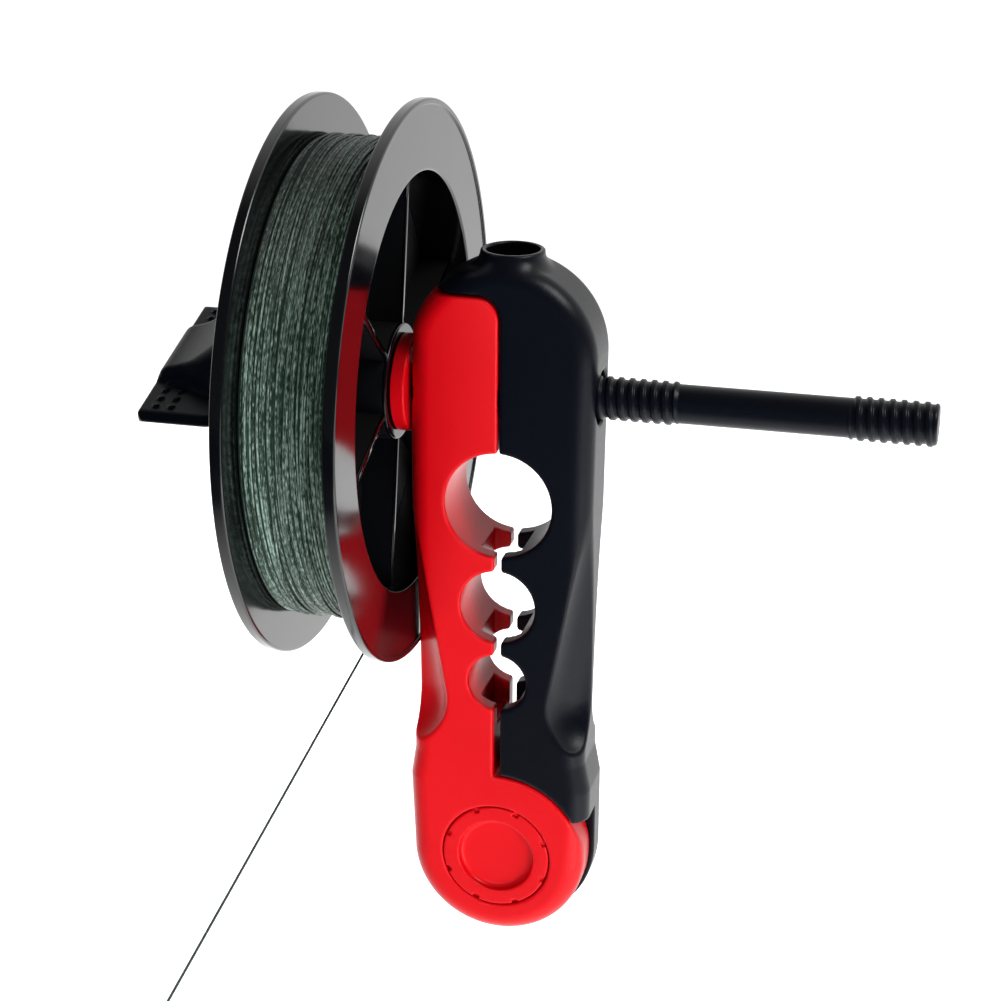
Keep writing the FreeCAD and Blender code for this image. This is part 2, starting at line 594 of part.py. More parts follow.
# Wing nut: a round skirt that flattens into a grip with a wing to each side
nut_face = "(" + washer_out + " - nut_gap)"
bore_end = "(" + left_end + " - spindle_end_gap)"
nut_end = "(" + bore_end + " - nut_end_wall)"
wing_nut = body_on("wing_nut", "spindle_rise")
turned(wing_nut, "nut_turned", [
    (nut_end, "0"), (nut_end, "nut_radius - nut_round"), (nut_end + " + nut_round", "nut_radius"),
    (nut_face + " - nut_round", "nut_radius"), (nut_face, "nut_radius - nut_round"),
    (nut_face, "nut_pocket"), (nut_face + " - nut_pocket_depth", "nut_pocket"),
    (nut_face + " - nut_pocket_depth", bore), (bore_end, bore), (bore_end, "0")])
for side in (1, -1):
    relief = sketch(wing_nut, "nut_relief_%s" % ("top" if side > 0 else "bottom"), "XZ_Plane")
    polygon(relief, [
        (nut_end + " - cut_over", "%d * 2 * nut_radius" % side),
        (nut_face + " - nut_skirt", "%d * 2 * nut_radius" % side),
        (nut_face + " - nut_skirt", "%d * nut_radius" % side),
        (nut_end + " + nut_rise_length", "%d * nut_rise_half" % side),
        (nut_end + " + nut_flat_length", "%d * nut_flat_half" % side),
        (nut_end + " - cut_over", "%d * nut_flat_half" % side)])
    pocket(wing_nut, "nut_relief_cut_%s" % ("top" if side > 0 else "bottom"), relief,
           "4 * nut_radius")
wing_plan = sketch(wing_nut, "wing_plan", "XY_Plane")
polygon(wing_plan, [
    (nut_end, "wing_corner - wing_span"), (nut_end + " + wing_corner", "-wing_span"),
    (nut_end + " + wing_length", "-wing_span"),
    (nut_end + " + wing_length + wing_cut", "wing_root - nut_radius"),
    (nut_end + " + wing_length + wing_cut", "nut_radius - wing_root"),
    (nut_end + " + wing_length", "wing_span"), (nut_end + " + wing_corner", "wing_span"),
    (nut_end, "wing_span - wing_corner")])
pad(wing_nut, "wings", wing_plan, "wing_thick")
clear = circle(sketch(wing_nut, "bore_again", "YZ_Plane", bore_end), bore)
pocket(wing_nut, "bore_through_wings", clear, nut_face + " - " + bore_end, both=False, against=True)
wing_nut.Placement = Placement(Vector(0, 0, value("spindle_rise")),
                               Rotation(Vector(1, 0, 0), value("nut_tilt")))
bind(wing_nut, Placement__Base__z="spindle_rise")

# Running line: it lies on the winding, leaves it at a tangent and is drawn straight towards the
# reel, where it ends in a loop knot. The route is its three corner points.
lift = value("winding_radius + line_gap + line_radius")
leave = math.radians(-value("line_angle"))
wrap = math.radians(value("line_wrap"))
centre = Vector(value("line_x"), 0, value("spindle_rise"))


def on_winding(angle):
    """A point on the line's own circle round the winding."""
    return centre + Vector(0, lift * math.cos(angle), lift * math.sin(angle))


first = on_winding(leave + wrap)
tangent = on_winding(leave)
draw = Vector(0, math.sin(leave), -math.cos(leave))
corner = tangent - draw * (lift * math.tan(wrap / 2))
last = tangent + draw * value("line_run")
path = Part.Wire([arc_on(first, corner, tangent), Part.LineSegment(tangent, last).toShape()])
start_way = (corner - first).normalize()
ring = Part.Wire([Part.Circle(first, start_way, value("line_radius")).toShape()])
running_line = doc.addObject("Part::Feature", "running_line")
running_line.Shape = path.makePipeShell([ring], True, False)
section = math.pi * value("line_radius") ** 2
print("running line", [tuple(round(c, 2) for c in spot) for spot in (first, corner, tangent, last)],
      "length", round(path.Length, 2), "radius", round(lift, 2),
      "volume ratio", round(running_line.Shape.Volume / (section * path.Length), 4))

# Loop knot at the far end: a small knot with an open eye of the same line
line_knot = doc.addObject("Part::Feature", "line_knot")
knot_spot = last + draw * (value("knot_radius") + value("knot_gap"))
eye_spot = knot_spot + draw * (value("loop_radius") + value("knot_radius") / 2)
knot = Part.makeSphere(value("knot_radius"), knot_spot)
eye = Part.makeTorus(value("loop_radius"), value("line_radius"), eye_spot, Vector(1, 0, 0))
line_knot.Shape = knot.fuse(eye)

doc.recompute()
NODES = ["main_body", "clamp_jaw", "hinge_pin", "hinge_nut", "hinge_cap", "jaw_spring", "spindle",
         "spool_cone", "drag_cone", "drag_washer", "drag_spring", "wing_nut",
         "spool_flange_left", "spool_flange_right", "spool_arbor", "line_core", "line_winding",
         "running_line", "line_knot"]
for thing in doc.Objects:
    wrong = [word for word in thing.State if word in ("Invalid", "Error")]
    if wrong:
        raise SystemExit("%s: %s" % (thing.Name, wrong))
os.makedirs("parts", exist_ok=True)
for name in NODES:
    piece = doc.getObject(name)
    piece.Label = name
    shape = piece.Shape
    if shape.isNull() or not shape.isValid():
        raise SystemExit(name + " has no valid shape")
    print(name, "solids", len(shape.Solids), "volume", round(shape.Volume, 1))
    shape.exportStep("parts/" + name + ".step")
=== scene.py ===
import math

import bpy
import numpy as np
from mathutils import Matrix


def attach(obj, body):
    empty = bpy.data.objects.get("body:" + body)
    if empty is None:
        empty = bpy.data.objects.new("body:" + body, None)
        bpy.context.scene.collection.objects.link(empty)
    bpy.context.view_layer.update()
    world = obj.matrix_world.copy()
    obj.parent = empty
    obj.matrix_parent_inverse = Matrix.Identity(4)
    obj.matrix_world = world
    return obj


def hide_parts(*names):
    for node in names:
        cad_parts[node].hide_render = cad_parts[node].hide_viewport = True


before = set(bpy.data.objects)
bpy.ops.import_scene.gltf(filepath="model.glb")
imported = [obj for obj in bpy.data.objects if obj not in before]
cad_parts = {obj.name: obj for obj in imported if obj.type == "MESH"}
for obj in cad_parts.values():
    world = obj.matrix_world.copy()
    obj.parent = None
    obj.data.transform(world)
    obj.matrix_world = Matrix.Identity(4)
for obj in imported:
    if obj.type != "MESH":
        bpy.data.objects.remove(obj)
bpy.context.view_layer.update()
bpy.context.scene.view_settings.view_transform = "Standard"
MM = 0.001

# Camera: a long lens a little to the right of the clamp holes' axis and above it, with the very
# slight roll of a hand-held shot. Its place is given in the object's own frame.
turn, lean, roll = np.radians([13.89, 20.47, 0.355])
ahead = np.array([-math.sin(turn) * math.cos(lean), math.cos(turn) * math.cos(lean),
                  -math.sin(lean)])
level = np.array([math.cos(turn), math.sin(turn), 0.0])
upright = np.cross(level, ahead)
right = math.cos(roll) * level + math.sin(roll) * upright
above = -math.sin(roll) * level + math.cos(roll) * upright
camera = bpy.data.objects.new("camera", bpy.data.cameras.new("camera"))
bpy.context.scene.collection.objects.link(camera)
camera_spot = np.array([89.48, -367.08, 139.48]) * MM
camera.matrix_world = Matrix([[right[i], above[i], -ahead[i], camera_spot[i]] for i in range(3)]
                             + [[0, 0, 0, 1]])
camera.data.sensor_width = 36.0
camera.data.lens = 88.06
camera.data.clip_start = 0.01
bpy.context.scene.camera = camera


# Running line: braided line of 0.4 mm that lies on the winding for a twelfth of a turn, leaves
# it at a tangent and is drawn straight towards the reel, just past the edge of the view.
class Feed:
    """A shader socket in an expression: each operator adds its Math node to the same tree."""

    def __init__(self, finish, socket):
        self.finish = finish
        self.socket = socket

    def _with(self, operation, first, second=0.0):
        return self.finish.node("ShaderNodeMath", {"operation": operation}, {0: first, 1: second})

    def __add__(self, other):
        return self._with("ADD", self, other)

    __radd__ = __add__

    def __sub__(self, other):
        return self._with("SUBTRACT", self, other)

    def __rsub__(self, other):
        return self._with("SUBTRACT", other, self)

    def __mul__(self, other):
        return self._with("MULTIPLY", self, other)

    __rmul__ = __mul__

    def over(self, limit):
        """1 where the value is over the limit."""
        return self._with("GREATER_THAN", self, limit)

    def held(self):
        """The value kept from 0 to 1."""
        return self.finish.node("ShaderNodeClamp", {}, {"Value": self})

class Finish:
    """A node material with one Principled shader, built up by expressions."""

    def __init__(self, name, colour, roughness, **plain):
        self.material = bpy.data.materials.new(name)
        self.material.use_nodes = True
        self.tree = self.material.node_tree
        self.shader = self.tree.nodes["Principled BSDF"]
        self.shader.inputs["Base Color"].default_value = (*colour, 1)
        self.shader.inputs["Roughness"].default_value = roughness
        for socket, number in plain.items():
            self.shader.inputs[socket.replace("_", " ")].default_value = number
        self.place = self.node("ShaderNodeTexCoord", {}, {}, "Object")

    def node(self, kind, settings, values, output=0):
        """A node of any type: its settings are set first, then its sockets' values or links."""
        made = self.tree.nodes.new(kind)
        for key, setting in settings.items():
            setattr(made, key, setting)
        for key, value in values.items():
            if isinstance(value, Feed):
                self.tree.links.new(value.socket, made.inputs[key])
            else:
                made.inputs[key].default_value = value
        return Feed(self, made.outputs[output])

    def noise(self, scale, detail=2.0, place=None):
        """Fractal noise from 0 to 1 at a scale in cycles per metre."""
        return self.node("ShaderNodeTexNoise", {},
                         {"Vector": place or self.place, "Scale": scale, "Detail": detail})

    def mix(self, factor, first, second):
        """A colour between two."""
        colours = [c if isinstance(c, Feed) else (*c, 1) for c in (first, second)]
        return self.node("ShaderNodeMix", {"data_type": "RGBA"},
                         {"Factor": factor, 6: colours[0], 7: colours[1]}, 2)

    def feed(self, socket, value):
        self.tree.links.new(value.socket, self.shader.inputs[socket])

    def bump(self, height, distance, strength=1.0):
        """Raises the surface by a height from 0 to 1 times a distance in metres."""
        self.feed("Normal", self.node("ShaderNodeBump", {},
                                      {"Height": height, "Distance": distance,
                                       "Strength": strength}))


def put(name, mesh, finish, body, slot, *nodes):
    """Links a piece that rides on a body, takes a finish and stands for CAD nodes, which it hides.
    The slot is not used.
    """
    piece = bpy.data.objects.new(name, mesh)
    bpy.context.scene.collection.objects.link(piece)
    mesh.materials.append(finish.material)
    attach(piece, body)
    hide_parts(*nodes)
    return piece


line_x = -20.5
line_route = np.array([[line_x, 24.37, -13.93], [line_x, 15.92, -20.46], [line_x, 5.34, -21.89],
                       [line_x, -111.6, -37.7]]) * MM
line_width, line_length = 0.4 * MM, 138.5 * MM
drawn_braid = Finish("drawn_braid", (0.03, 0.05, 0.04), 0.5)
plait = drawn_braid.noise(2600, 1.0)
drawn_braid.feed("Base Color", drawn_braid.mix(plait, (0.02, 0.035, 0.028), (0.06, 0.1, 0.075)))
drawn_braid.bump(plait, 0.00004)
curve = bpy.data.curves.new("drawn_line", "CURVE")
curve.dimensions = "3D"
curve.bevel_depth = line_width / 2
curve.bevel_resolution = 3
curve.use_fill_caps = True
spline = curve.splines.new("NURBS")
spline.points.add(len(line_route) - 1)
spline.points.foreach_set("co", np.c_[line_route, np.ones(len(line_route))].ravel())
spline.order_u = 3
spline.use_endpoint_u = True
spline.resolution_u = 24
drawn_line = put("drawn_line", curve, drawn_braid, "carriage", "green_line", "running_line")


# Studio: the camera sees plain white. A reflection sees a white sweep behind and beside the
# object and a dark room on the camera's side, and everything else gets a soft grey fill.
fill_level, dark_room = 0.16, 0.05
world = bpy.data.worlds.new("studio")
bpy.context.scene.world = world
world.use_nodes = True
rays = world.node_tree.nodes.new("ShaderNodeLightPath")
where = world.node_tree.nodes.new("ShaderNodeTexCoord")
toward = world.node_tree.nodes.new("ShaderNodeVectorMath")
toward.operation = "DOT_PRODUCT"
toward.inputs[1].default_value = (0.15, 1, 0)
sweep = world.node_tree.nodes.new("ShaderNodeMapRange")
for key, number in (("From Min", -0.15), ("From Max", 0.8), ("To Min", dark_room), ("To Max", 1.0)):
    sweep.inputs[key].default_value = number
fill = world.node_tree.nodes.new("ShaderNodeMapRange")
fill.inputs["To Min"].default_value = fill_level
plain = [world.node_tree.nodes.new("ShaderNodeMath") for _ in range(2)]
for most in plain:
    most.operation = "MAXIMUM"
backing = world.node_tree.nodes["Background"]
backing.inputs["Color"].default_value = (1, 1, 1, 1)
for start, end in ((where.outputs["Generated"], toward.inputs[0]),
                   (toward.outputs["Value"], sweep.inputs["Value"]),
                   (rays.outputs["Is Glossy Ray"], fill.inputs["Value"]),
                   (sweep.outputs[0], fill.inputs["To Max"]),
                   (rays.outputs["Is Camera Ray"], plain[0].inputs[0]),
                   (rays.outputs["Is Transmission Ray"], plain[0].inputs[1]),
                   (plain[0].outputs[0], plain[1].inputs[0]),
                   (fill.outputs[0], plain[1].inputs[1]),
                   (plain[1].outputs[0], backing.inputs["Strength"])):
    world.node_tree.links.new(start, end)


def lamp(name, spot, aim, size, watts, hidden_from):
    """A soft square lamp at a place, aimed at another, in metres and watts, that one kind of ray
    doesn't see."""
    light = bpy.data.lights.new(name, "AREA")
    light.shape = "RECTANGLE"
    light.size = size
    light.size_y = size
    light.energy = watts
    made = bpy.data.objects.new(name, light)
    bpy.context.scene.collection.objects.link(made)
    back = np.array(spot, float) - np.array(aim, float)
    back /= np.linalg.norm(back)
    side = np.cross((0, 0, 1), back)
    side /= np.linalg.norm(side)
    up = np.cross(back, side)
    made.matrix_world = Matrix([[side[i], up[i], back[i], spot[i]] for i in range(3)]
                               + [[0, 0, 0, 1]])
    setattr(made, hidden_from, False)


# three lamps light the colours, and the one over the shoulder is seen only in the gloss
lamp("key", (0.62, -0.52, -0.22), (0, 0, 0), 0.5, 9.5, "visible_glossy")
lamp("front", (-0.14, -0.95, -0.02), (-0.02, 0, 0.02), 0.4, 4.0, "visible_glossy")
lamp("rear", (-0.6, 0.85, 0.3), (0, 0, 0), 0.6, 11.0, "visible_glossy")
lamp("shoulder", (0.5, -0.12, 0.68), (0, 0, 0), 0.35, 3.6, "visible_diffuse")

# The floor is plain and white to the camera, well below the object. In a reflection it is
# white behind and beside the object and goes dark in front of it.
floor = bpy.data.meshes.new("floor")
floor_z, floor_reach = -0.35, 3.0
floor.from_pydata([(-floor_reach, -floor_reach, floor_z), (floor_reach, -floor_reach, floor_z),
                   (floor_reach, floor_reach, floor_z), (-floor_reach, floor_reach, floor_z)],
                  [], [(0, 1, 2, 3)])
floor_piece = bpy.data.objects.new("floor", floor)
bpy.context.scene.collection.objects.link(floor_piece)
pale_floor = (0.85, 0.85, 0.86)
floor_paint = Finish("floor_paint", pale_floor, 0.8)
floor.materials.append(floor_paint.material)
mirrored = floor_paint.node("ShaderNodeLightPath", {}, {}, "Is Glossy Ray")
seen_white = (floor_paint.node("ShaderNodeLightPath", {}, {}, "Is Camera Ray")
              + floor_paint.node("ShaderNodeLightPath", {}, {}, "Is Transmission Ray"))
behind = floor_paint.node("ShaderNodeVectorMath", {"operation": "DOT_PRODUCT"},
                          {0: floor_paint.place, 1: (0.5, 1, 0)}, "Value")
away = (behind * 1.7 + 1.1).held()
floor_paint.feed("Base Color",
                 floor_paint.mix(mirrored * (1 - away), pale_floor, (0.03, 0.03, 0.03)))
floor_paint.feed("Emission Color",
                 floor_paint.mix((seen_white + mirrored * away).held(), (0, 0, 0), (1, 1, 1)))
floor_paint.shader.inputs["Emission Strength"].default_value = 1.0


# Main body: the fixed arm, moulded in black ABS with a satin face. Its round head reaches over
# the swinging jaw and carries a short collar; the rear half of the knuckle is at its foot.
half_depth, dome_z, head_half, waist_half = 7.35, 24.3, 15.5, 14.65
hinge_z, knuckle_r, jaw_knuckle_r, waist_low, waist_high = -63.8, 15.6, 15.0, -50.7, -45.7
edge_round, soft_edge, jaw_corner = 3.6, 0.45, 4.0
hole_rows = ((0.0, 8.9), (-17.8, 6.3), (-31.4, 4.92))
split, grip_split, bay_top, bay_floor = 0.15, 0.6, 35.1, 20.0
scoop_r, scoop_low, scoop_way = 9.5, (17.75, 9.91, -35.5), (3.21, -0.56, 17.3)
channel_x, channel_y, channel_low = 3.4, 4.35, -40.0
lap_clear, lap_step = 0.35, -56.0
collar_x, collar_r, collar_top, collar_foot = 0.5, 5.2, 41.2, 36.0
socket_r, socket_floor = 4.3, 36.9
spindle_z, crest_r, bore_fit = 17.6, 3.53, 0.07
mouth_r, mouth_x, pocket_r, pocket_x = 4.45, 13.0, 6.8, 6.0
pin_r, well_r, well_y = 2.5, 4.6, 4.95
arm_cell = 0.34


def met(a, b, round_by):
    """What two solids share, their common edge rounded by a circle of that radius."""
    return (np.minimum(-round_by, np.maximum(a, b))
            + np.hypot(np.maximum(round_by + a, 0), np.maximum(round_by + b, 0)))


def less(a, b, round_by):
    """A solid with another taken out of it, the rim of the cut rounded."""
    return met(a, -b, round_by)


def joined(a, b, fillet):
    """Two solids as one, with a fillet where they meet."""
    return -met(-a, -b, fillet)


def made_mesh(name, points, faces):
    """A smooth mesh in metres from points in mm and arrays of faces, turned outwards by the sign
    of the volume that they hold."""
    volume = sum(np.einsum("ij,ij->", points[f[:, 0]],
                           np.cross(points[f[:, k]], points[f[:, k + 1]]))
                 for f in faces for k in range(1, f.shape[1] - 1))
    step = 1 if volume > 0 else -1
    mesh = bpy.data.meshes.new(name)
    mesh.from_pydata((points * MM).tolist(), [],
                     [f for some in faces for f in some[:, ::step].tolist()])
    mesh.polygons.foreach_set("use_smooth", [True] * len(mesh.polygons))
    mesh.update()
    return mesh


def skin(name, solid, low, high, cell):
    """The surface where a distance function (all in mm) is 0. On a grid of cells, each cell that
    the surface crosses gets one point, the mean of the crossings on its edges, and each crossed
    edge one four-sided face of its four cells; then each point goes to the surface along the
    slope of the distance."""
    axes = [np.arange(a - 2.5 * cell, b + 3 * cell, cell) for a, b in zip(low, high)]
    field = solid(*np.meshgrid(*axes, indexing="ij", sparse=True)).astype(np.float32)
    shape = np.array(field.shape)
    strides = np.array([shape[1] * shape[2], shape[2], 1])
    total = np.zeros((int(shape.prod()), 4))
    quads = []
    for axis in range(3):
        near = np.take(field, range(shape[axis] - 1), axis)
        far = np.take(field, range(1, shape[axis]), axis)
        spots = np.argwhere((near < 0) != (far < 0))
        a = near[tuple(spots.T)]
        b = far[tuple(spots.T)]
        points = spots.astype(float)
        points[:, axis] += a / (a - b)
        one, two = strides[(axis + 1) % 3], strides[(axis + 2) % 3]
        home = spots @ strides
        cells = np.stack([home, home - one, home - one - two, home - two], axis=1)
        for column in range(4):
            for k in range(3):
                total[:, k] += np.bincount(cells[:, column], points[:, k], len(total))
            total[:, 3] += np.bincount(cells[:, column], None, len(total))
        flip = (a >= 0)[:, None]
        quads.append(np.where(flip, cells[:, ::-1], cells))
    used = np.flatnonzero(total[:, 3])
    number = np.zeros(len(total), int)
    number[used] = np.arange(len(used))
    spot = total[used, :3] / total[used, 3:] * cell + np.array([a[0] for a in axes])
    nudge = 0.02 * cell
    for _ in range(3):
        here = solid(*spot.T)
        slope = np.stack([(solid(*(spot + nudge * step).T) - solid(*(spot - nudge * step).T))
                          / (2 * nudge) for step in np.eye(3)], axis=1)
        move = here[:, None] * slope / np.maximum((slope ** 2).sum(1), 0.2)[:, None]
        spot -= np.clip(move, -0.5 * cell, 0.5 * cell)
    return made_mesh(name, spot, [number[np.concatenate(quads)]])


def arm_blank(x, y, z, heights, halves, foot_r):
    """An arm before it is cut: the half width goes in straight steps from height to height, the
    head is inside a disc, the foot is a disc round the hinge, and the front and back edges are
    rounded."""
    outline = np.abs(x) - np.interp(z, heights, halves)
    outline = np.where(z < hinge_z, np.hypot(x, z - hinge_z) - foot_r, outline)
    head = np.hypot(x, z - dome_z) - head_half
    outline = np.where(z > dome_z, np.maximum(outline, head), outline)
    return met(outline, np.abs(y) - half_depth, edge_round)


def scoop_cut(x, y, z, side, face):
    """A finger scoop: the distance from a leaning line that starts at its low end, less the
    radius, so that the scoop is a cylinder with a ball at that end."""
    mirror = (side, face, 1)
    way = np.array(scoop_way) * mirror
    way /= np.linalg.norm(way)
    x, y, z = x - mirror[0] * scoop_low[0], y - mirror[1] * scoop_low[1], z - scoop_low[2]
    along = np.clip(x * way[0] + y * way[1] + z * way[2], 0, 60)
    return np.sqrt((x - along * way[0]) ** 2 + (y - along * way[1]) ** 2
                   + (z - along * way[2]) ** 2) - scoop_r


def hollowed(x, y, z, arm, side):
    """An arm less its clamp holes, its two finger scoops and the channel behind the grip faces."""
    for drop, radius in hole_rows:
        arm = less(arm, np.hypot(x, z - drop) - radius, soft_edge)
    for face in (-1, 1):
        arm = less(arm, scoop_cut(x, y, z, side, face), soft_edge)
    channel = np.maximum(np.maximum(side * x - channel_x, np.abs(y) - channel_y),
                         np.maximum(channel_low - z, z))
    return less(arm, channel, 0.15)


def body_solid(x, y, z):
    """The fixed arm as a distance: the blank less the jaw's bay, plus the collar, less bores."""
    arm = arm_blank(x, y, z, [hinge_z, waist_low, waist_high, dome_z],
                    [knuckle_r, knuckle_r, waist_half, head_half], knuckle_r)
    disc = np.hypot(x, z - hinge_z)
    bay = met(x - split, z - bay_top, jaw_corner)
    below = np.where(z < 0, x - grip_split, x - split)
    bay = np.minimum(bay, np.maximum(below, z - bay_floor))
    bay = np.maximum(bay, knuckle_r - disc)
    arm = less(arm, bay, soft_edge)
    lap = np.minimum(np.minimum(disc - jaw_knuckle_r - lap_clear, z - lap_step),
                     np.maximum(x - split, z))
    arm = less(arm, np.maximum(lap, y - split), 0.3)
    axis = np.hypot(x - collar_x, y)
    collar = met(axis - collar_r, np.maximum(z - collar_top, collar_foot - z), 0.35)
    arm = joined(arm, collar, 1.8)
    arm = less(arm, np.maximum(axis - socket_r, socket_floor - z), 0.3)
    arm = hollowed(x, y, z, arm, 1)
    bore = np.hypot(y, z - spindle_z)
    arm = less(arm, bore - crest_r - bore_fit, 0.1)
    arm = less(arm, np.maximum(bore - mouth_r, mouth_x - x), 0.3)
    arm = less(arm, np.maximum(bore - pocket_r, x - pocket_x), 0.2)
    arm = less(arm, disc - pin_r, 0.1)
    return less(arm, np.maximum(disc - well_r, well_y - y), 0.25)


def moulded(name, colour, pale, rough, shine):
    """Moulded plastic: a faint cloud in its colour and a fine grain in its gloss."""
    made = Finish(name, colour, rough, Specular_IOR_Level=shine)
    grain = made.noise(1400, 3.0)
    cloud = made.noise(55, 2.0)
    made.feed("Roughness", (rough - 0.06) + 0.08 * grain + 0.05 * cloud)
    made.feed("Base Color", made.mix(cloud, colour, pale))
    made.bump(grain, 0.00002)
    return made


black, pale_black = (0.0016, 0.0024, 0.005), (0.0026, 0.0034, 0.007)
black_abs = moulded("black_abs", black, pale_black, 0.33, 0.22)
body_low = (-15.6, -7.35, -79.4)
body_high = (15.6, 7.35, 41.2)
put("fixed_arm", skin("fixed_arm", body_solid, body_low, body_high, arm_cell),
    black_abs, "frame", "black_body", "main_body")


# Clamp jaw: the swinging arm, moulded in bright red ABS. It tucks under the body's head with a
# rounded corner, and its half of the knuckle is in front, with a seat for the hinge cap.
jaw_top, jaw_waist, belly_z, belly_half, crown_z, crown_half = 34.8, 14.85, 8.0, 15.2, 42.0, 14.6
jaw_bore, jaw_pin_bore = 5.2, 2.55
cap_seat_r, cap_seat_y, head_well_r, head_well_y = 9.4, -5.55, 4.4, -4.05


def jaw_solid(x, y, z):
    """The swinging arm as a distance: the blank less the body's side, less bores and seats."""
    heights = [hinge_z, waist_low, waist_high, belly_z, crown_z]
    halves = [jaw_knuckle_r, knuckle_r, jaw_waist, belly_half, crown_half]
    arm = met(arm_blank(x, y, z, heights, halves, jaw_knuckle_r), z - jaw_top, soft_edge)
    disc = np.hypot(x, z - hinge_z)
    grip = np.where(z < 0, x + grip_split, x + split)
    half = np.where(z < bay_floor, grip, met(grip, z - jaw_top, jaw_corner))
    half = np.minimum(half, disc - jaw_knuckle_r)
    arm = met(arm, half, soft_edge)
    arm = less(arm, np.maximum(disc - knuckle_r - lap_clear, -split - y), 0.3)
    arm = hollowed(x, y, z, arm, -1)
    bore = np.hypot(y, z - spindle_z)
    arm = less(arm, bore - jaw_bore, 0.3)
    arm = less(arm, np.maximum(bore - pocket_r, -pocket_x - x), 0.2)
    arm = less(arm, disc - jaw_pin_bore, 0.1)
    arm = less(arm, np.maximum(disc - cap_seat_r, y - cap_seat_y), 0.25)
    return less(arm, np.maximum(disc - head_well_r, y - head_well_y), 0.15)


red_abs = moulded("red_abs", (0.58, 0.001, 0.005), (0.68, 0.002, 0.007), 0.32, 0.28)
put("swing_arm", skin("swing_arm", jaw_solid, (-15.6, -7.35, -79.0), (15.0, 7.35, 34.8), arm_cell),
    red_abs, "jaw", "red_jaw", "clamp_jaw")


# Hinge: a steel pin with a flat head goes through both halves of the knuckle into a hexagon nut
# sunk in the back, and a red dished cap with eight little notches snaps over the head.
def grid_mesh(name, points, ring, uv=None):
    """A mesh over rows x columns of points in mm. The columns always wrap round; the rows wrap
    too in a ring, and otherwise the first and the last row are each one point, a pole."""
    rows, columns = points.shape[:2]
    number = np.arange(rows * columns).reshape(rows, columns)
    if not ring:
        number[[0, -1]] = number[[0, -1], :1]
    lead = number if ring else number[:-1]
    follow = np.roll(number, -1, 0) if ring else number[1:]
    quads = np.stack([lead, np.roll(lead, -1, 1), np.roll(follow, -1, 1), follow], axis=2)
    faces = [quads.reshape(-1, 4)]
    if not ring:
        faces = [quads[1:-1].reshape(-1, 4), quads[0][:, [0, 2, 3]], quads[-1][:, [0, 1, 2]]]
    used = np.unique(np.concatenate([f.ravel() for f in faces]))
    renumber = np.zeros(rows * columns, int)
    renumber[used] = np.arange(len(used))
    mesh = made_mesh(name, points.reshape(-1, 3)[used], [renumber[f] for f in faces])
    if uv is not None:
        corners = np.zeros(len(mesh.loops), int)
        mesh.loops.foreach_get("vertex_index", corners)
        mesh.uv_layers.new(name="UVMap").data.foreach_set(
            "uv", uv.reshape(-1, 2)[used][corners].ravel())
    return mesh


def softened(corners, radii, steps=4):
    """A closed profile with its corners rounded: each becomes an arc that touches both edges,
    between two more points that keep the straight parts straight."""
    corners = np.array(corners, float)
    radii = np.broadcast_to(radii, len(corners))
    rows = []
    for here, before, after, radius in zip(corners, np.roll(corners, 1, 0),
                                           np.roll(corners, -1, 0), radii):
        u = (before - here) / np.linalg.norm(before - here)
        v = (after - here) / np.linalg.norm(after - here)
        half = math.acos(np.clip(u @ v, -1, 1)) / 2
        reach = radius / math.tan(half)
        middle = here + (u + v) / np.linalg.norm(u + v) * radius / math.sin(half)
        a, b = here + u * reach - middle, here + v * reach - middle
        sweep = math.pi - 2 * half
        s = np.linspace(0, 1, steps + 1)[:, None]
        arc = middle + (np.sin((1 - s) * sweep) * a + np.sin(s * sweep) * b) / math.sin(sweep)
        extra = 0.5 * radius
        rows += [[here + u * (reach + extra)], arc, [here + v * (reach + extra)]]
    return np.concatenate(rows)


def turned(name, profile, centre, steps=120, axis="x", ring=True):
    """A profile of (along, out) pairs carried round an axis: at each angle a point lies at its
    own along, and at its out times the angle's cosine and sine. Without a ring the profile
    starts and ends on the axis."""
    angle = np.arange(steps) * 2 * np.pi / steps
    along = profile[:, :1] + 0 * angle
    one = profile[:, 1:] * np.cos(angle)
    two = profile[:, 1:] * np.sin(angle)
    order = (along, one, two) if axis == "x" else (two, along, one)
    return grid_mesh(name, np.stack(order, axis=2) + np.array(centre), ring)


def capped(corners, radii, steps=4):
    """A profile that starts and ends on the axis, its other corners rounded."""
    inner = softened(corners, radii, steps)[(steps + 3):-(steps + 3)]
    return np.concatenate([[corners[0]], inner, [corners[-1]]])


hinge_spot = (0, 0, hinge_z)
pin_steel = Finish("pin_steel", (0.55, 0.55, 0.56), 0.3, Metallic=1.0)
brushed = pin_steel.noise(2200, 2.0)
pin_steel.feed("Roughness", 0.22 + 0.2 * brushed)
put("pin", turned("pin", capped(
    [(-5.5, 0), (-5.5, 4.2), (-4.1, 4.2), (-4.1, 2.5), (6.85, 2.5), (6.85, 0)],
    [0.1, 0.4, 0.1, 0.1, 0.4, 0.1]), hinge_spot, 64, "y", False),
    pin_steel, "frame", "pin_steel", "hinge_pin")


def hexagon(x, y, z):
    """A hexagon nut: the farthest of three pairs of flats, both ends chamfered, less its bore."""
    z = z - hinge_z
    flats = np.maximum(np.abs(z), np.maximum(np.abs(0.866 * x + 0.5 * z),
                                             np.abs(0.866 * x - 0.5 * z))) - 3.3
    disc = np.hypot(x, z)
    ends = np.maximum(y - 7.25, 5.05 - y)
    cone = 0.8 * (disc - 3.75) + 0.55 * (np.abs(y - 6.15) - 0.85)
    return less(met(met(flats, ends, 0.08), cone, 0.08), disc - 2.51, 0.15)


put("hexagon_nut", skin("hexagon_nut", hexagon, (-3.9, 5.05, -67.7), (3.9, 7.25, -59.9), 0.16),
    pin_steel, "frame", "pin_steel", "hinge_nut")


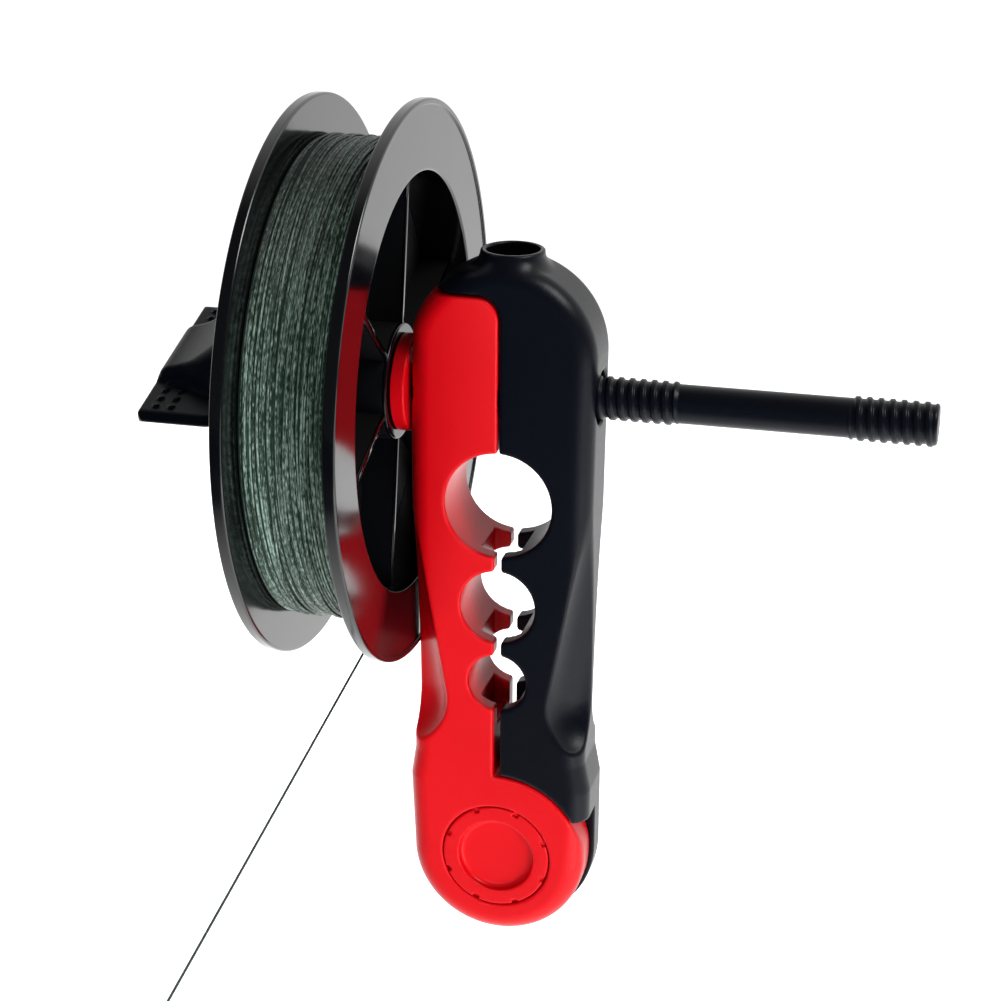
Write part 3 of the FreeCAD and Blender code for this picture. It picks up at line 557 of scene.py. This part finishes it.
def cap_solid(x, y, z):
    """The dished cap: a disc less its dish and eight notches in its rim."""
    z = z - hinge_z
    disc = np.hypot(x, z)
    cap = met(disc - 9.2, np.maximum(y + 5.6, -7.35 - y), 0.3)
    cap = less(cap, met(disc - 6.5, y + 6.0, 0.9), 0.3)
    angle = np.arctan2(x, z) - np.radians(22.5)
    lean = angle - np.round(angle / (np.pi / 4)) * (np.pi / 4)
    notch = met(np.abs(disc * np.sin(lean)) - 0.5, 8.5 - disc * np.cos(lean), 0.2)
    return less(cap, np.maximum(notch, y + 6.7), 0.15)


put("dished_cap", skin("dished_cap", cap_solid, (-9, -7.35, -72.8), (9, -5.6, -54.8), 0.2),
    red_abs, "jaw", "red_jaw", "hinge_cap")


# Spring between the arms: four turns of round spring steel wire about the spindle, its ends in a
# pocket in each arm.
def wound(name, low, turns, pitch, radius, wire, along_steps, sides=10):
    """Round wire on a helix about the spindle: the middle line goes round at its radius and on by
    the pitch, and each section lies across it, with the ends closed."""
    turn = np.linspace(0, turns, int(turns * along_steps) + 1)
    turn = np.concatenate([turn[:1], turn[:1], turn, turn[-1:], turn[-1:]])
    size = np.full(len(turn), wire / 2)
    size[[0, -1]] = 0
    size[[1, -2]] = wire / 2 * 0.9
    angle = 2 * np.pi * turn
    out = np.stack([0 * angle, np.cos(angle), np.sin(angle)], axis=1)
    middle = out * radius + np.stack([low + pitch * turn, 0 * turn, 0 * turn + spindle_z], axis=1)
    climb = pitch / (2 * np.pi * radius)
    way = np.stack([0 * angle + climb, -np.sin(angle), np.cos(angle)], axis=1)
    way /= np.linalg.norm(way, axis=1)[:, None]
    across = np.cross(way, out)
    round_it = np.arange(sides) * 2 * np.pi / sides
    section = (np.cos(round_it)[:, None] * out[:, None]
               + np.sin(round_it)[:, None] * across[:, None])
    points = middle[:, None] + size[:, None, None] * section
    return grid_mesh(name, points, False)


spring_steel = Finish("spring_steel", (0.6, 0.6, 0.62), 0.25, Metallic=1.0)
spring_steel.feed("Roughness", 0.18 + 0.18 * spring_steel.noise(1800, 2.0))
put("arm_spring", wound("arm_spring", -5.2, 4, 2.6, 5.6, 0.8, 48),
    spring_steel, "frame", "spring_steel", "jaw_spring")


# Spindle: one moulded rod in black plastic through both arms, the spool and the nut, with a
# raised round thread at its ends and round its middle.
spindle_low, spindle_high = -50.1, 68.9
core_r, thread_pitch, run_out = 3.17, 1.8, 0.7
threads = ((spindle_low, -36.2), (-9.4, 28.2), (55.0, spindle_high))


def thread_rise(x, angle):
    """How far a thread stands out of the core: a ridge round half of each pitch, whose top moves
    on by a pitch in a turn, and which runs out at both ends of its stretch."""
    wave = np.cos(2 * np.pi * (x / thread_pitch - angle / (2 * np.pi)))
    ridge = np.clip(0.5 + 0.85 * wave, 0, 1)
    ridge = ridge * ridge * (3 - 2 * ridge)
    share = 0
    for low, high in threads:
        share = np.maximum(share, np.clip(np.minimum(x - low, high - x) / run_out, 0, 1))
    return (crest_r - core_r) * ridge * share


rows = [np.arange(low - 0.3, high + 0.3, thread_pitch / 14) for low, high in threads]
rows += [np.linspace(-35.8, -9.8, 14), np.linspace(28.6, 54.6, 14)]
rows = np.sort(np.concatenate(rows))
rows = rows[(rows > spindle_low + 0.5) & (rows < spindle_high - 0.5)]
angle = np.arange(64) * 2 * np.pi / 64
out = core_r + thread_rise(rows[:, None], angle[None, :])
tip = np.linspace(0, np.pi / 2, 6)[:, None]
low_out = out[:1] - 0.5 * (1 - np.sin(tip))
high_out = out[-1:] - 0.5 * (1 - np.cos(tip))
along = np.concatenate([[spindle_low] * 2, (spindle_low + 0.5 * (1 - np.cos(tip)))[:, 0], rows,
                        (spindle_high - 0.5 * (1 - np.sin(tip)))[:, 0], [spindle_high] * 2])
out = np.concatenate([0 * out[:1], low_out[:1] - 0.2, low_out, out, high_out, high_out[-1:] - 0.2,
                      0 * out[:1]])
rod_points = np.stack([along[:, None] + 0 * out, out * np.cos(angle),
                       spindle_z + out * np.sin(angle)], axis=2)
black_rod = moulded("black_rod", black, pale_black, 0.34, 0.22)
put("threaded_rod", grid_mesh("threaded_rod", rod_points, False),
    black_rod, "frame", "black_spindle", "spindle")


# Cones: two short taper cones slide on the spindle and centre the spool from both sides, a red
# one against the jaw and a black one under the drag washer.
axis_spot = (0, 0, spindle_z)
cone_bore = crest_r + bore_fit
cone_r, neck_r, tip_r, cone_land, cone_length = 8.0, 6.5, 5.3, 2.3, 4.85
for name, finish, slot, node, base, way in (
        ("near_cone", red_abs, "red_jaw", "spool_cone", -15.45, -1),
        ("far_cone", black_abs, "black_body", "drag_cone", -34.05, 1)):
    tip = base + way * cone_length
    ring = [(base, cone_bore), (base, cone_r), (base + way * cone_land, cone_r),
            (base + way * (cone_land + 0.2), neck_r), (tip, tip_r), (tip, cone_bore)]
    put(name, turned(name, softened(ring, [0.2, 0.3, 0.1, 0.1, 0.4, 0.2], 4), axis_spot, 96),
        finish, "carriage", slot, node)


# Spool: two glossy black flanges with half a barrel each, snapped over a centre with a web, a
# hub and six ribs. The rim of each flange has a raised lip.
spool_mid, spool_half, flange_r, opening_r = -24.75, 9.75, 46.0, 34.34
gloss_black = Finish("gloss_black", (0.0015, 0.0018, 0.0028), 0.12, Specular_IOR_Level=0.8)
haze = gloss_black.noise(90, 3.0)
gloss_black.feed("Roughness", 0.09 + 0.1 * haze)
gloss_black.bump(gloss_black.noise(160, 2.0), 0.00001)
flange_thick, lip_r, lip_rise, barrel_wall, barrel_gap = 2.0, 45.0, 0.3, 1.7, 0.025
for name, node, way in (("near_flange", "spool_flange_right", 1),
                        ("far_flange", "spool_flange_left", -1)):
    face, inner = spool_half - lip_rise, spool_half - flange_thick
    barrel_r = opening_r + barrel_wall
    ring = [(barrel_gap, opening_r), (face, opening_r), (face, lip_r), (spool_half, lip_r),
            (spool_half, flange_r), (inner, flange_r), (inner, barrel_r), (barrel_gap, barrel_r)]
    ring = softened(ring, [0.1, 0.4, 0.12, 0.12, 0.4, 0.45, 0.4, 0.1], 5)
    ring = ring * (way, 1) + (spool_mid, 0)
    put(name, turned(name, ring, axis_spot, 200),
        gloss_black, "spool", "black_spool", node)


# The centre is turned, matt on its web and glossy on the hub's ends, and the six ribs are bars
# with rounded edges across the web from the hub to the barrel.
centre_black = Finish("centre_black", (0.0015, 0.0018, 0.0028), 0.5, Specular_IOR_Level=0.3)
along = centre_black.node("ShaderNodeSeparateXYZ", {}, {0: centre_black.place}, "X")
off_web = along + -spool_mid * MM
edge = (off_web * off_web).over((6.1 * MM) ** 2)
centre_black.feed("Roughness", 0.55 - 0.5 * edge + 0.06 * centre_black.noise(300, 2.0))
web_r, web_half, hub_r, hub_half, hub_bore = 34.29, 0.8, 9.6, 6.75, 6.7
rib_in, rib_half, rib_thick, rib_first = 8.6, 6.55, 0.6, 80.0
ring = [(web_half, web_r), (web_half, hub_r), (hub_half, hub_r), (hub_half, hub_bore),
        (-hub_half, hub_bore), (-hub_half, hub_r), (-web_half, hub_r), (-web_half, web_r)]
ring = softened(ring, [0.15, 0.5, 0.35, 0.3, 0.3, 0.35, 0.5, 0.15], 4) + (spool_mid, 0)
put("spool_centre", turned("spool_centre", ring, axis_spot, 180),
    centre_black, "spool", "black_spool", "spool_arbor")
across = softened([(-rib_half, -rib_thick), (rib_half, -rib_thick), (rib_half, rib_thick),
                   (-rib_half, rib_thick)], 0.3, 4)
reach = np.array([rib_in, rib_in, rib_in + 0.4, web_r - 0.29, web_r, web_r])
shrink = np.array([0, 0.9, 1, 1, 0.9, 0])
for number in range(6):
    angle = np.radians(rib_first + 60.0 * number)
    off = shrink[:, None] * across[:, 1]
    rib = np.stack([spool_mid + shrink[:, None] * across[:, 0],
                    reach[:, None] * np.cos(angle) - off * np.sin(angle),
                    spindle_z + reach[:, None] * np.sin(angle) + off * np.cos(angle)], axis=2)
    name = "spool_rib_%d" % (number + 1)
    put(name, grid_mesh(name, rib, False), centre_black, "spool", "black_spool", "spool_arbor")


# Line on the spool: dark green braided line of 0.4 mm, wound in close turns side by side, with
# loose turns that cross them at a slant on top.
braid = Finish("wound_braid", (0.05, 0.12, 0.08), 0.5, Specular_IOR_Level=0.5)
lay = braid.node("ShaderNodeUVMap", {"uv_map": "UVMap"}, {})
fleck, drift = (
    braid.noise(1.0, detail, braid.node("ShaderNodeMapping", {}, {"Vector": lay, "Scale": stretch}))
    for detail, stretch in ((1.0, (0.9, 3.5, 1)), (2.0, (0.05, 0.7, 1))))
tone = ((fleck - 0.42) * 3.0 + (drift - 0.5) * 2.4).held()
braid.feed("Base Color", braid.mix(tone, (0.007, 0.024, 0.016), (0.3, 0.43, 0.36)))
braid.bump(fleck, 0.00008)
strand, wind_low, wind_high, wind_r = 0.4, -32.4, -17.1, 39.15
close_turns, cross_strands = 38, 22
turn_length = 246
chance = np.random.default_rng(7)


def strands(name, turn, middle_x, middle_r, sides, u0):
    """Round strands about the spool's axis: each row of points is a section at its turn, place
    along the axis and radius."""
    angle = 2 * np.pi * turn
    round_it = np.arange(sides) * 2 * np.pi / sides
    size = np.full(len(turn), strand / 2)
    size[[0, -1]] = 0
    out = middle_r[:, None] + size[:, None] * np.cos(round_it)
    across = middle_x[:, None] + size[:, None] * np.sin(round_it)
    points = np.stack([across, out * np.cos(angle)[:, None],
                       spindle_z + out * np.sin(angle)[:, None]], axis=2)
    uv = np.stack([(turn * turn_length)[:, None] + u0 + 0 * out,
                   round_it[None] / 6.28 + turn[:, None]], axis=2)
    return grid_mesh(name, points, False, uv)


def wander(count, knots, size):
    """A smooth random walk: cosine blends between random heights at even knots."""
    spots = np.linspace(0, knots, count)
    heights = chance.uniform(-size, size, knots + 2)
    step = np.floor(spots).astype(int)
    share = 0.5 - 0.5 * np.cos(np.pi * (spots - step))
    return heights[step] * (1 - share) + heights[step + 1] * share


turn = np.linspace(0, close_turns, close_turns * 120 + 1)
middle_x = wind_low + strand / 2 + (wind_high - wind_low - strand) * turn / close_turns
middle_x += wander(len(turn), close_turns * 5, 0.17)
middle_r = wind_r - 0.1 + wander(len(turn), close_turns * 4, 0.2)
put("wound_line", strands("wound_line", turn, middle_x, middle_r, 8, 0.0),
    braid, "spool", "green_line", "line_core", "line_winding")
core_in, core_out = opening_r + barrel_wall + 0.05, wind_r - 0.05
core = [(wind_low, core_in), (wind_low, core_out), (wind_high, core_out), (wind_high, core_in)]
# The line's core shows only in the gaps between the turns. It is painted much darker than the wound
# line, as painted shade in those gaps.
core_braid_painted_shade = Finish("core_braid_painted_shade", (0.008, 0.02, 0.014), 0.8)
core_braid_painted_shade.feed("Base Color", core_braid_painted_shade.mix(
    core_braid_painted_shade.noise(900, 3.0), (0.004, 0.012, 0.008), (0.015, 0.035, 0.024)))
put("line_under", turned("line_under", softened(core, 0.1, 2), axis_spot, 96),
    core_braid_painted_shade, "spool", "green_line", "line_core")
for number in range(cross_strands):
    span = chance.uniform(0.2, 0.55)
    start = chance.uniform(0, 1)
    turn = np.linspace(start, start + span, 90)
    share = np.linspace(0, 1, 90)
    low = chance.uniform(wind_low + 0.5, wind_high - 4.5)
    reach = chance.uniform(1.5, 4.0)
    middle_x = low + reach * (share if number % 2 else 1 - share)
    middle_r = wind_r + 0.24 - 0.35 * np.maximum(0, np.abs(2 * share - 1) - 0.85) / 0.15
    name = "cross_strand_%02d" % number
    put(name, strands(name, turn, middle_x, middle_r, 8, 31.0 * number),
        braid, "spool", "green_line", "line_winding")


# Drag stack: a fibre washer and a steel spring of three turns between the far cone and the nut.
fibre = Finish("washer_fibre", (0.06, 0.045, 0.035), 0.8)
fibre.feed("Base Color", fibre.mix(fibre.noise(900, 4.0), (0.04, 0.03, 0.024), (0.1, 0.075, 0.055)))
washer_low, washer_high, washer_r = -34.95, -34.15, 7.6
ring = [(washer_low, cone_bore), (washer_low, washer_r), (washer_high, washer_r),
        (washer_high, cone_bore)]
put("fibre_washer", turned("fibre_washer", softened(ring, 0.12, 3), axis_spot, 96),
    fibre, "carriage", "washer_fibre", "drag_washer")
put("tension_spring", wound("tension_spring", -40.45, 3, 5.0 / 3, 5.2, 0.9, 48),
    spring_steel, "carriage", "spring_steel", "drag_spring")


# Wing nut: moulded in black plastic. A round skirt flattens into a grip, and a wing with eight
# raised dots for the fingers stands out to each side. It is turned a little off level.
nut_end, nut_face, nut_r, nut_tilt = -57.9, -35.2, 10.3, 15.5
wing_reach, wing_half, wing_length, wing_bevel = 17.6, 1.1, 14.2, 17.7
dot_column, dot_gap, dot_row, dot_pitch, dot_r = 3.95, 1.3, 11.45, 2.27, 0.6
skirt_bore, skirt_deep, nut_bore_end = 6.3, 6.4, -51.2


def nut_solid(x, y, z):
    """The wing nut as a distance: a round skirt whose half thickness and half width grow from the
    end to the skirt, the wings with a bevel, the dots, and the stepped bore taken out."""
    tilt = np.radians(nut_tilt)
    y, z = (np.cos(tilt) * y + np.sin(tilt) * (z - spindle_z),
            np.cos(tilt) * (z - spindle_z) - np.sin(tilt) * y)
    disc = np.hypot(y, z)
    ends = np.maximum(x - nut_face, nut_end - x)
    skirt = met(disc - nut_r, ends, 0.8)
    share = np.clip((x - nut_end - 1.5) / 17.0, 0, 1)
    half = 3.4 + 9.2 * share ** 1.6 * (1.6 - 0.6 * share)
    wide = 7.6 + 3.4 * np.clip((x - nut_end - 4.5) / 5.5, 0, 1) ** 1.5
    nut = met(skirt, 0.8 * (np.abs(z) - half), 2.2)
    nut = met(nut, 0.8 * (np.abs(y) - wide), 1.2)
    corner = 0.7071 * (np.abs(y) - wing_reach + nut_end + 0.9 - x)
    tail = 0.36 * (x - nut_end - 11.0) + 0.35898 * (np.abs(y) - wing_reach)
    plan = np.maximum(np.maximum(np.abs(y) - wing_reach, nut_end - x), np.maximum(corner, tail))
    plan = np.maximum(plan, x - nut_end - wing_length)
    bevel = 0.62 * (np.abs(y) - wing_bevel) + 0.78 * (np.abs(z) - 0.1)
    wings = met(plan, met(np.abs(z) - wing_half, bevel, 0.3), 0.3)
    nut = np.maximum(joined(nut, wings, 0.8), nut_end - x)
    column = np.abs(x - nut_end - dot_column) - dot_gap
    row = np.abs(y) - dot_row
    row = row - np.clip(np.round(row / dot_pitch - 0.5) + 0.5, -1.5, 1.5) * dot_pitch
    dots = np.sqrt(column ** 2 + row ** 2 + (np.abs(z) - 1.0) ** 2) - dot_r
    nut = joined(nut, dots, 0.12)
    nut = less(nut, np.maximum(disc - skirt_bore, nut_face - skirt_deep - x), 0.3)
    return less(nut, np.maximum(disc - cone_bore, nut_bore_end - x), 0.2)


black_nut = moulded("black_nut", black, pale_black, 0.34, 0.12)
put("finger_nut", skin("finger_nut", nut_solid, (-57.9, -17.6, 5.0), (-35.2, 17.6, 30.0), 0.3),
    black_nut, "nut", "black_body", "wing_nut")

# The loop knot at the line's far end keeps its own solid, in the line's finish.
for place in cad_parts["line_knot"].material_slots:
    place.material = drawn_braid.material
